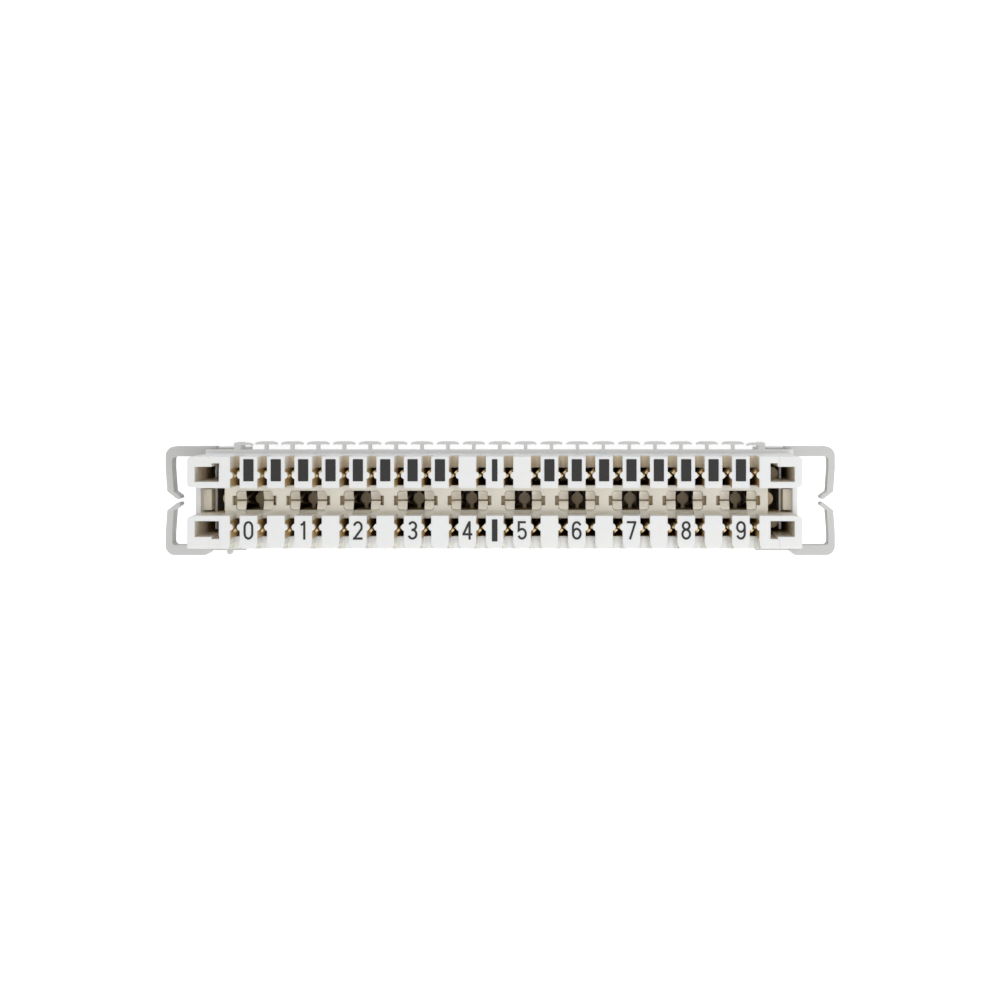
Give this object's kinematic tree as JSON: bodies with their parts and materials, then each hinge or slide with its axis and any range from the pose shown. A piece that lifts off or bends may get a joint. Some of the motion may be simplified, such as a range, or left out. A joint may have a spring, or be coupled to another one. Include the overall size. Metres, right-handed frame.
{
  "type": "punch down wiring block",
  "caption": "Disconnection punch down wiring block: white slotted contact housing on a grey base with a wire comb, wire loops at both ends and feet that clip to round rods.",
  "frame": {"origin": "middle of the bottom of the outer box, in the plane of the feet's underside", "axes": "+X along the rows, from digit 0 to digit 9; +Y to the cable side, where the comb is; +Z to the user, out of the wire slots"},
  "size_m": [0.1236, 0.0212, 0.038],
  "materials": {
    "white_plastic": "satin moulded",
    "grey_plastic": "satin moulded",
    "contact_metal": "silver plated",
    "spring_steel": "bright rolled",
    "ink": "printed"
  },
  "bodies": {
    "root": {"contact_housing": "white_plastic", "base": "grey_plastic", "rod_clamp_left": "spring_steel", "rod_clamp_right": "spring_steel", "earth_contact_left": "spring_steel", "earth_contact_right": "spring_steel", "printed_marks": "ink", "cable_contact_00": "contact_metal", "cable_contact_01": "contact_metal", "cable_contact_02": "contact_metal", "cable_contact_03": "contact_metal", "cable_contact_04": "contact_metal", "cable_contact_05": "contact_metal", "cable_contact_06": "contact_metal", "cable_contact_07": "contact_metal", "cable_contact_08": "contact_metal", "cable_contact_09": "contact_metal", "cable_contact_10": "contact_metal", "cable_contact_11": "contact_metal", "cable_contact_12": "contact_metal", "cable_contact_13": "contact_metal", "cable_contact_14": "contact_metal", "cable_contact_15": "contact_metal", "cable_contact_16": "contact_metal", "cable_contact_17": "contact_metal", "cable_contact_18": "contact_metal", "cable_contact_19": "contact_metal", "jumper_contact_00": "contact_metal", "jumper_contact_01": "contact_metal", "jumper_contact_02": "contact_metal", "jumper_contact_03": "contact_metal", "jumper_contact_04": "contact_metal", "jumper_contact_05": "contact_metal", "jumper_contact_06": "contact_metal", "jumper_contact_07": "contact_metal", "jumper_contact_08": "contact_metal", "jumper_contact_09": "contact_metal", "jumper_contact_10": "contact_metal", "jumper_contact_11": "contact_metal", "jumper_contact_12": "contact_metal", "jumper_contact_13": "contact_metal", "jumper_contact_14": "contact_metal", "jumper_contact_15": "contact_metal", "jumper_contact_16": "contact_metal", "jumper_contact_17": "contact_metal", "jumper_contact_18": "contact_metal", "jumper_contact_19": "contact_metal"}
  },
  "joints": []
}
